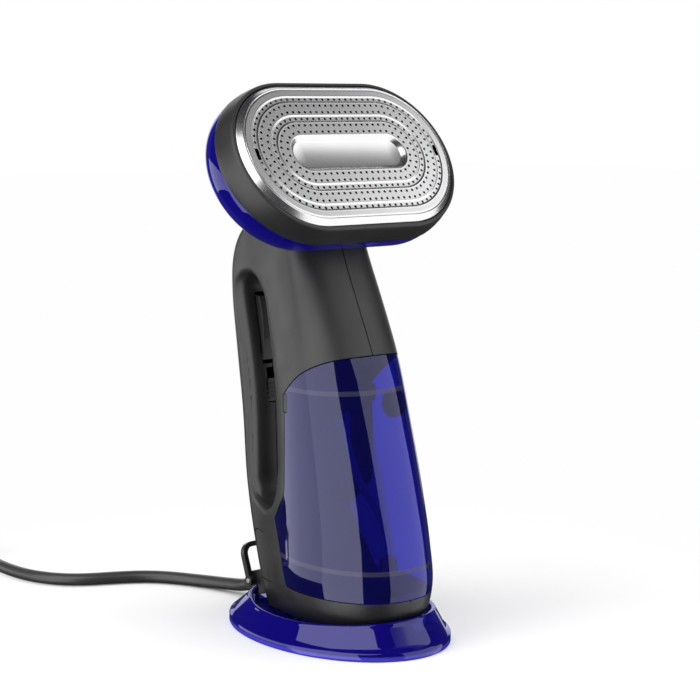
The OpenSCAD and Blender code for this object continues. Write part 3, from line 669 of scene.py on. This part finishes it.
def housing_cavity(x, y, z):
    """The space inside the housing's walls."""
    f = body(x, y, z, WALL)
    return np.maximum(f, WALL + 1 - outline_distance(tank_outline(0)[::3], y, z))


def tank_cavity(x, y, z):
    """The water space, with rounded corners."""
    f = body(x, y, z, WALL)
    return smooth_max(f, WALL + outline_distance(tank_outline(TANK_GAP), y, z), 2)


def cut_openings(obj):
    """Everything that is cut through the housing's wall."""
    boolean(obj, extrude(tank_outline(0), -60, 60, along_x))
    boolean(obj, extrude(box_outline(50, 79, TRIGGER_Z - 21.3, TRIGGER_Z + 21.3, 1.5), -6.8, 6.8, along_x))
    boolean(obj, extrude(box_outline(50, 75, LOCK_Z - 10.5, LOCK_Z + 10.5, 1.5), -4.7, 4.7, along_x))
    boolean(obj, extrude(slot_outline((0, -11), (0, 11), 9.15), -8, 12, IN_PANEL))
    boolean(obj, extrude(box_outline(50, 82, -5, 26), -9.8, 9.8, along_x))
    for side in (-1, 1):
        a, b = sorted((side * 10, side * 60))
        boolean(obj, extrude(grown(SIDE_COVER, SIDE_COVER_ROUND + 0.25), a, b, along_x))
        a, b = sorted((side * 24, side * 60))
        boolean(obj, extrude(latch_outline(0.45), a, b, along_x))
    for y, z in SCREWS:
        boolean(obj, extrude(slot_outline((y - 0.01, z), (y + 0.01, z), 2.9, 12), 5, 60, along_x))
    return obj


def build_housing():
    whole = solid("housing", body, LOW, HIGH, 1.0, housing_cavity, 2.2)
    cut_openings(whole)
    halves = []
    for name, side in (("housing_shell_left", -1), ("housing_shell_right", 1)):
        half = bpy.data.objects.new(name, whole.data.copy())
        bpy.context.scene.collection.objects.link(half)
        wide, narrow, far = side * 0.3, side * 0.01, side * 60
        share = [(narrow, -10), (far, -10), (far, 280), (wide, 280), (wide, SHELF_Z - 1),
                 (narrow, SHELF_Z - 1)]
        boolean(half, extrude(share, -90, 130, along_y), "INTERSECT")
        true_normals(half, body)
        dress(half, "charcoal")
        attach(half, "steamer")
        halves.append(half)
    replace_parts(halves[0], "housing_left")
    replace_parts(halves[1], "housing_right")
    bpy.data.objects.remove(whole)


def build_tank():
    tank = solid("tank_shell", body, (-41, -60, 20), (41, 40, 168), 0.9, tank_cavity, 1.6)
    boolean(tank, extrude(tank_outline(TANK_GAP + 0.25), -60, 60, along_x), "INTERSECT")
    for side in (-1, 1):
        a, b = sorted((side * 24, side * 60))
        boolean(tank, extrude(latch_outline(0.45), a, b, along_x))
    boolean(tank, extrude(slot_outline((-4.01, 128), (-3.99, 128), 8.15, 24), 20, 60, along_x))
    true_normals(tank, body)
    centre = face_centres(tank)
    mark_faces(tank, "lining", body(centre[:, 0], centre[:, 1], centre[:, 2]) < -0.5 * WALL)
    dress(tank, "tank_blue")
    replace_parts(tank, "tank")
    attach(tank, "tank")


def build_flank_piece(name, side, outline, node, body_name, box, thick):
    """A piece let into the flank: the housing's own surface, just below flush, inside a side-view outline."""
    def shell(x, y, z):
        f = smooth_max(body(x, y, z, 0.15), -body(x, y, z, thick), 0.3)
        beyond = np.maximum(outline_distance(outline, y, z) - 1.5, box - side * x)
        return smooth_max(f, beyond, 0.3)
    low, high = outline.min(0) - 3, outline.max(0) + 3
    a, b = sorted((side * (box - 3), side * 42))
    piece = solid(name, shell, (a, low[0], low[1]), (b, high[0], high[1]), 0.7)
    a, b = sorted((side * 2, side * 60))
    boolean(piece, extrude(outline, a, b, along_x), "INTERSECT")
    true_normals(piece, lambda x, y, z: body(x, y, z, 0.15))
    dress(piece, "charcoal")
    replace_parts(piece, node)
    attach(piece, body_name)


def build_flank_pieces():
    cover = grown(SIDE_COVER, SIDE_COVER_ROUND - 0.15)
    for word, side in (("left", -1), ("right", 1)):
        latch = "latch_" + word
        build_flank_piece("side_cover_" + word, side, cover, "side_covers", "steamer", 9, WALL - 0.2)
        build_flank_piece("latch_tab_" + word, side, latch_outline(0), latch, latch, 24, 4.4)


# ---------------------------------------------------------------- head

BEZEL_R, BEZEL_DEPTH, DOME_START, COVER_DEPTH, DOME_FALL = PLATE_R + 4.7, 17, 21, 44, 24
BACK_RISE = 2.1  # the back of the head sits this much further up the plate
RECESS_R, RING_PITCH, RING_COUNT, HOLE_R = 11.05, 4.2, 6, 0.8
RING_R0 = RECESS_R + 2.2


def turned(name, profile, body_slot):
    """A ring of the head: a closed profile of radius and depth carried round the stadium."""
    rings = [IN_HEAD(stadium(r, -d, BACK_RISE * ease(d / COVER_DEPTH))) for r, d in profile]
    n = len(rings[0])
    count = len(rings)
    faces = [(k * n + i, k * n + (i + 1) % n, (k + 1) % count * n + (i + 1) % n, (k + 1) % count * n + i)
             for k in range(count) for i in range(n)]
    obj = closed(new_object(name, to_row(np.concatenate(rings)), faces))
    obj.data.set_sharp_from_angle(angle=math.radians(40))
    dress(obj, body_slot)
    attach(obj, "steamer")
    return obj


def dome(inset, steps=22):
    """Profile of the back cover's wall from its rim to where its back is flat."""
    out = []
    for k in range(steps + 1):
        a = math.pi / 2 * k / steps
        out.append((BEZEL_R - 0.3 - inset - DOME_FALL * (1 - math.cos(a)),
                    DOME_START + (COVER_DEPTH - DOME_START - inset) * math.sin(a)))
    return out


def build_head():
    r = PLATE_R
    bezel = [(r + 0.4, 8), (r + 0.4, 3.0), (r + 0.55, 2.6), (r + 0.95, 2.35), (r + 1.5, 2.4), (r + 2.0, 2.8),
             (r + 2.5, 3.6)]
    bezel += [(r + 2.5 + 2.2 * math.sin(math.pi / 2 * k / 9), 3.6 + 13 * k / 9) for k in range(1, 10)]
    bezel += [(r + 4.6, 16.85), (r + 4.2, 16.95), (r - 3, 16.95), (r - 3, 14)]
    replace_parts(turned("bezel_ring", bezel, "charcoal"), "bezel")
    wall = dome(0)
    inner = dome(WALL)[::-1] + [(BEZEL_R - 0.3 - WALL, BEZEL_DEPTH)]
    rim = [(BEZEL_R - 0.9, BEZEL_DEPTH - 0.02), (BEZEL_R - 0.45, BEZEL_DEPTH + 0.15),
           (BEZEL_R - 0.3, BEZEL_DEPTH + 0.5)]
    back_r = BEZEL_R - 0.3 - DOME_FALL
    rings = [IN_HEAD(stadium(a, -d, BACK_RISE * ease(d / COVER_DEPTH))) for a, d in rim + wall]
    rings += [IN_HEAD(stadium(back_r * k / 6, -COVER_DEPTH, BACK_RISE)) for k in (5, 4, 3, 2, 1)]
    n = len(rings[0])
    cover = rings + [IN_HEAD(stadium(back_r * k / 6, -COVER_DEPTH + WALL, BACK_RISE)) for k in (1, 3, 5)]
    cover += [IN_HEAD(stadium(a, -d, BACK_RISE * ease(d / COVER_DEPTH))) for a, d in inner]
    flat = len(rings) - 1
    faces = []
    for k in range(len(cover)):
        if k == flat:
            continue
        j = (k + 1) % len(cover)
        faces += [(k * n + i, k * n + (i + 1) % n, j * n + (i + 1) % n, j * n + i) for i in range(n)]
    faces += [range(flat * n, flat * n + n), range((flat + 1) * n + n - 1, (flat + 1) * n - 1, -1)]
    obj = closed(new_object("head_dome", to_row(np.concatenate(cover)), faces))
    obj.data.set_sharp_from_angle(angle=math.radians(40))
    dress(obj, "stand_blue")
    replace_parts(obj, "head_cover")
    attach(obj, "steamer")


def plate_face(r):
    """Depth of the plate's face at a radius: two grooves between fine ridges, and a groove inside the rim."""
    depth = 0.0
    for start, end in ((RECESS_R + 8.5, RECESS_R + 12.7), (RECESS_R + 21.1, RECESS_R + 24.8)):
        depth += 0.3 * float(ease((r - start) / 1.0 + 0.5) * ease((end - r) / 1.0 + 0.5))
        depth -= 0.14 * (math.exp(-((r - start) / 0.35) ** 2) + math.exp(-((r - end) / 0.35) ** 2))
    return depth + 0.35 * math.exp(-((r - PLATE_R + 4.0) / 0.3) ** 2)


def hole_places():
    """The steam holes' centres, evenly spread round each stadium ring, with the clip slots left free."""
    places = []
    for k in range(RING_COUNT):
        r = RING_R0 + k * RING_PITCH
        straight, arc = PLATE_STRAIGHT, math.pi * r
        around_ring = 2 * straight + 2 * arc
        count = 2 * round(around_ring / (2 * RING_PITCH))
        for i in range(count):
            s = (i + 0.5) * around_ring / count
            side = 1 if s < straight + arc else -1
            s -= 0 if side > 0 else straight + arc
            if s < straight:
                place = (side * (s - straight / 2), -side * r)
            else:
                a = (s - straight) / r - math.pi / 2
                place = (side * (straight / 2 + r * math.cos(a)), side * r * math.sin(a))
            if k < RING_COUNT - 1 or abs(place[1]) > 5:
                places.append(place)
    return places


def build_plate():
    """The steel soleplate: its face, rolled rim and skirt, pierced by the steam holes and two clip slots."""
    r = PLATE_R
    profile = [(RECESS_R - 3.3, 2.6), (RECESS_R - 2.7, 2.45), (RECESS_R - 0.7, 0.3), (RECESS_R - 0.2, 0.02),
               (RECESS_R + 0.3, -0.05)]
    at = RECESS_R + 0.8
    while at < r - 3.4:
        profile.append((at, plate_face(at)))
        at += 0.3
    profile += [(r - 3.4, 0), (r - 3.2, 0.06), (r - 3.0, 0.2), (r - 2.8, 0.38), (r - 0.4, 2.6),
                (r - 0.15, 2.85), (r, 3.3)]
    profile += [(r, 6), (r - 2, 6), (r - 2, 4.2), (RECESS_R + 1, 1.9), (RECESS_R - 1.6, 4.2),
                (RECESS_R - 4, 4.2)]
    rings = [IN_HEAD(stadium(a, -d)) for a, d in profile]
    n = len(rings[0])
    last = len(rings) - 1
    faces = [(k * n + i, k * n + (i + 1) % n, (k + 1) * n + (i + 1) % n, (k + 1) * n + i)
             for k in range(last) for i in range(n)]
    faces += [range(n), range((last + 1) * n - 1, last * n - 1, -1)]
    plate = closed(new_object("soleplate", to_row(np.concatenate(rings)), faces))
    turn = np.arange(16) * 2 * math.pi / 16
    circle = np.stack([HOLE_R * np.cos(turn), HOLE_R * np.sin(turn)], 1)
    points, sides = [], []
    for place in hole_places():
        start = len(points)
        points += [(*(circle[i] + place), w) for w in (-9, 3) for i in range(16)]
        sides += [range(start + 15, start - 1, -1), range(start + 16, start + 32)]
        for i in range(16):
            j = (i + 1) % 16
            sides.append((start + i, start + j, start + 16 + j, start + 16 + i))
    boolean(plate, closed(new_object("cutter", to_row(IN_HEAD(points)), sides)))
    clip = PLATE_STRAIGHT / 2 + RING_R0 + 5 * RING_PITCH
    for side in (-1, 1):
        a, b = sorted((side * clip - 1.2, side * clip + 1.2))
        boolean(plate, extrude(box_outline(a, b, -3.5, 3.5, 0.8), -8, 3, IN_HEAD))
    centre = face_centres(plate)
    depth = head_depth(centre[:, 1], centre[:, 2])
    up_plate = (centre[:, 1] - HEAD_CENTRE[1]) * math.cos(HEAD_TILT)
    up_plate += (centre[:, 2] - HEAD_CENTRE[2]) * math.sin(HEAD_TILT)
    r = np.hypot(np.clip(np.abs(centre[:, 0]) - PLATE_STRAIGHT / 2, 0, None), up_plate)
    # painted shade: faces set back from the plate's face, between the recess and the rim, are marked to be
    # painted near black for the shade inside the steam holes
    mark_faces(plate, "painted_hole_shade", (depth > 0.5) & (r > RECESS_R + 0.2) & (r < PLATE_R - 4.5))
    plate.data.shade_smooth()
    plate.data.set_sharp_from_angle(angle=math.radians(30))
    dress(plate, "steel")
    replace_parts(plate, "steam_plate")
    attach(plate, "steamer")


# ---------------------------------------------------------------- stand and cord


def build_stand():
    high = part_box("stand_tray")[1]
    half_x, half_y = high[0] / MM, high[1] / MM
    n = 192
    edge, rim_z, floor_z = 5, 15.5, 7.4
    rim_x, rim_y, rim_mid = 46.6, 61.2, -2.6
    angles = np.arange(n) * 2 * math.pi / n
    behind = 1.5 * ease((np.sin(angles) - 0.35) / 0.3)
    rise = np.where(np.sin(angles) > 0, behind, 3.2 * np.sin(angles) ** 2)

    def ring(a, b, mid, z, share=0.0):
        return np.stack([a * np.cos(angles), b * np.sin(angles) + mid, z + share * rise], 1)

    foot = [(6, 0.9), (1.4, 0.9), (0.9, 0.0), (0.35, 0.12), (0, 0.7), (0, edge - 0.7), (0.25, edge - 0.2)]
    rings = [ring(half_x - inset, half_y - inset, 0, z) for inset, z in foot]
    rings.append(ring(half_x - 0.8, half_y - 0.85, 0.05, edge + 0.25))
    outer_start = (half_x - 2, half_y - 2.2, 0.3, edge + 1.0, 0.04)
    outer_end = (rim_x + 1.5, rim_y + 1.5, rim_mid, rim_z - 0.7, 1)
    for k in range(9):
        t = k / 8
        a, b, mid, z, share = (p * (1 - t) + q * t for p, q in zip(outer_start, outer_end))
        rings.append(ring(a, b, mid, z, share))
    for k in range(1, 8):
        a = math.pi * k / 8
        out = 1.4 * math.cos(a)
        rings.append(ring(rim_x + out, rim_y + out, rim_mid, rim_z - 0.7 + 1.4 * math.sin(a), 1))
    inner_start = (rim_x - 1.5, rim_y - 1.5, rim_mid, rim_z - 1.2, 1)
    inner_end = (rim_x - 6, rim_y - 4.5, rim_mid, floor_z, 0)
    for k in range(7):
        t = k / 6
        a, b, mid, z, share = (p * (1 - t) + q * t for p, q in zip(inner_start, inner_end))
        bow = 1.2 * math.sin(math.pi * t)
        rings.append(ring(a + bow, b + bow, mid, z - bow, share))
    rings += [ring((rim_x - 6) * s, (rim_y - 4.5) * s, rim_mid, floor_z) for s in (0.75, 0.5, 0.25)]
    obj = loft("stand_dish", rings)
    closed(obj)
    notch = rounded([(-18, 60), (-18, 4.6), (18, 4.6), (18, 60)], [0, 4, 4, 0])
    boolean(obj, extrude(notch, 34 - SEAT[1], 100, lambda p: along_y(p) - [0, 0, SEAT[2]]))
    obj.data.shade_smooth()
    obj.data.set_sharp_from_angle(angle=math.radians(38))
    dress(obj, "stand_blue")
    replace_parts(obj, "stand_tray")
    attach(obj, "stand")


CORD_R = 3.85
EXIT_DIP = math.radians(17)


def build_cord():
    def exit_at(d):
        return np.array([0, 60 + d * math.cos(EXIT_DIP), 16 - d * math.sin(EXIT_DIP)]) + SEAT

    places = [exit_at(-12), exit_at(10), exit_at(34), exit_at(42), (-3, 104, 5.1), (-10, 126, 4),
              (-25, 152, 4), (-47, 166, 4), (-70, 178, 4), (-85, 203, 4), (-87.5, 236, 4), (-84, 266, 4)]
    per_span = 10
    at = np.arange(0, (len(places) - 1) * per_span + 1) / per_span
    path = np.stack([curve([(i, p[c]) for i, p in enumerate(places)], 0.35)(at) for c in range(3)], 1)
    path[:, 2] = np.maximum(path[:, 2], CORD_R + 0.05)
    ahead = np.gradient(path, axis=0)
    ahead /= np.linalg.norm(ahead, axis=1)[:, None]
    side = np.cross(ahead, [0, 0, 1])
    side /= np.linalg.norm(side, axis=1)[:, None]
    up = np.cross(side, ahead)
    turn = np.arange(24) * 2 * math.pi / 24
    rings = [p + CORD_R * (np.cos(turn)[:, None] * s + np.sin(turn)[:, None] * u)
             for p, s, u in zip(path, side, up)]
    obj = loft("mains_cord", rings)
    dress(obj, "cord_black")
    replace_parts(obj, "power_cord")
    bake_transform(obj)


# ---------------------------------------------------------------- the studio


MIDDLE = Vector((0.0, 0.0, 0.15))
SCREEN_DISTANCE = 2.5


def around(azimuth, elevation, distance, target):
    """A place seen from the target at an azimuth and elevation; azimuth 0 is in front, on the -Y side."""
    a, e = math.radians(azimuth), math.radians(elevation)
    return target + distance * Vector((math.sin(a) * math.cos(e), -math.cos(a) * math.cos(e), math.sin(e)))


def softbox(name, azimuth, elevation, distance, size, radiance):
    """A soft light that faces the object; its image doesn't show in the object's polish."""
    light = bpy.data.lights.new(name, "AREA")
    light.shape = "RECTANGLE"
    light.size, light.size_y = size
    light.energy = radiance * math.pi * size[0] * size[1]
    obj = bpy.data.objects.new(name, light)
    bpy.context.scene.collection.objects.link(obj)
    obj.location = around(azimuth, elevation, distance, MIDDLE)
    obj.rotation_euler = (MIDDLE - obj.location).to_track_quat("-Z", "Y").to_euler()
    obj.visible_camera = False
    obj.visible_glossy = False


def screen(name, rows):
    """A glowing screen seen only in reflections, from rows of elevation, two azimuths and brightness."""
    columns = 24
    n = columns + 1
    points = []
    glow = []
    for elevation, first, last, brightness in rows:
        azimuths = [first + (last - first) * k / columns for k in range(n)]
        points += [around(azimuth, elevation, SCREEN_DISTANCE, MIDDLE) for azimuth in azimuths]
        glow += [brightness] * n
    faces = [(k * n + i, k * n + i + 1, k * n + n + i + 1, k * n + n + i)
             for k in range(len(rows) - 1) for i in range(columns)]
    obj = new_object(name, points, faces)
    obj.data.attributes.new("glow", "FLOAT", "POINT").data.foreach_set("value", glow)
    sh = Shader(name)
    strength = sh.add("Attribute", {"attribute_name": "glow"}).outputs["Fac"]
    obj.data.materials.append(sh.finish(sh.add("Emission", Color=(1, 1, 1, 1), Strength=strength).outputs[0]))
    obj.visible_camera = False
    obj.visible_diffuse = False
    obj.visible_shadow = False
    obj.visible_transmission = False


def build_studio():
    softbox("light_top", 0, 78, 1.5, (1.9, 1.9), 2.8)
    softbox("light_left", -105, 22, 1.3, (1.2, 1.3), 3.0)
    softbox("light_right", 60, 28, 1.4, (1.2, 1.2), 0.7)
    softbox("light_back", 160, 30, 1.4, (1.2, 1.2), 1.0)
    screen("screen_left", [(-40, -118, -54, 2.4), (-12, -118, -56, 2.4), (0, -118, -58, 2.4),
                           (9, -118, -53, 2.4), (16, -117, -47, 2.4), (25, -115, -39, 2.5),
                           (48, -113, -30, 2.5), (60, -110, -24, 2.5)])
    screen("screen_behind", [(-15, -170, -118, 1.8), (6, -170, -118, 1.9)])
    screen("screen_right", [(-40, 4, 86, 1.4), (-18, 1, 82, 1.4), (0, -3, 74, 1.4), (10, -6, 71, 1.4),
                            (16, -4, 68, 1.4), (25, 4, 68, 1.4), (34, 4, 76, 1.6), (40, 2, 78, 1.45),
                            (42, 0, 78, 0.8), (45, -2, 78, 0.3), (56, -4, 78, 0.2)])
    screen("screen_back", [(-10, 112, 168, 1.2), (50, 112, 168, 1.4)])
    world = bpy.data.worlds.new("studio")
    bpy.context.scene.world = world
    world.use_nodes = True
    tree = world.node_tree
    tree.nodes.clear()
    output = tree.nodes.new("ShaderNodeOutputWorld")
    seen, lit = tree.nodes.new("ShaderNodeBackground"), tree.nodes.new("ShaderNodeBackground")
    seen.inputs["Color"].default_value = (1, 1, 1, 1)
    lit.inputs["Color"].default_value = (0.9, 0.93, 1, 1)
    lit.inputs["Strength"].default_value = 0.05
    path, mix = tree.nodes.new("ShaderNodeLightPath"), tree.nodes.new("ShaderNodeMixShader")
    tree.links.new(path.outputs["Is Camera Ray"], mix.inputs[0])
    tree.links.new(lit.outputs[0], mix.inputs[1])
    tree.links.new(seen.outputs[0], mix.inputs[2])
    tree.links.new(mix.outputs[0], output.inputs[0])


def build_floor():
    """A pale floor that keeps the object's shadow and fades into the white background."""
    sh = Shader("floor")
    place = sh.add("TexCoord").outputs["Object"]
    away = sh.add("VectorMath", {"operation": "LENGTH"}, i0=place).outputs["Value"]
    fade = sh.add("MapRange", {"interpolation_type": "SMOOTHSTEP"}, Value=away)
    set_range(fade, 0.12, 0.36, 0.0, 1.0)
    colour = sh.blend_colour(sh.spread(sh.noise(3), 0, 1), (0.88, 0.88, 0.88), (0.92, 0.92, 0.92))
    near = sh.add("BsdfDiffuse", Color=colour)
    far = sh.add("Emission", Color=(1, 1, 1, 1), Strength=0.99)
    surface = sh.add("MixShader", Fac=fade.outputs[0], i1=near.outputs[0], i2=far.outputs[0])
    size = 6.0
    corners = [(-size, -size, 0), (size, -size, 0), (size, size, 0), (-size, size, 0)]
    floor = new_object("floor", corners, [(0, 1, 2, 3)])
    floor.data.materials.append(sh.finish(surface.outputs[0]))
    floor.visible_glossy = False


CAMERA_TARGET = Vector((0.0016, -0.0091, 0.1641))
CAMERA_AZIMUTH, CAMERA_ELEVATION, CAMERA_DISTANCE = -40.4, 7.8, 1.023
SENSOR_WIDTH, FOCAL_LENGTH = 36, 92.57


def build_camera():
    data = bpy.data.cameras.new("camera")
    data.sensor_width = SENSOR_WIDTH
    data.lens = FOCAL_LENGTH
    camera = bpy.data.objects.new("camera", data)
    bpy.context.scene.collection.objects.link(camera)
    camera.location = around(CAMERA_AZIMUTH, CAMERA_ELEVATION, CAMERA_DISTANCE, CAMERA_TARGET)
    camera.rotation_euler = (CAMERA_TARGET - camera.location).to_track_quat("-Z", "Y").to_euler()
    bpy.context.scene.camera = camera


dress_cad_nodes()
build_housing()
build_tank()
build_flank_pieces()
build_head()
build_plate()
build_stand()
build_cord()
build_studio()
build_floor()
build_camera()
bpy.context.scene.view_settings.view_transform = "Standard"
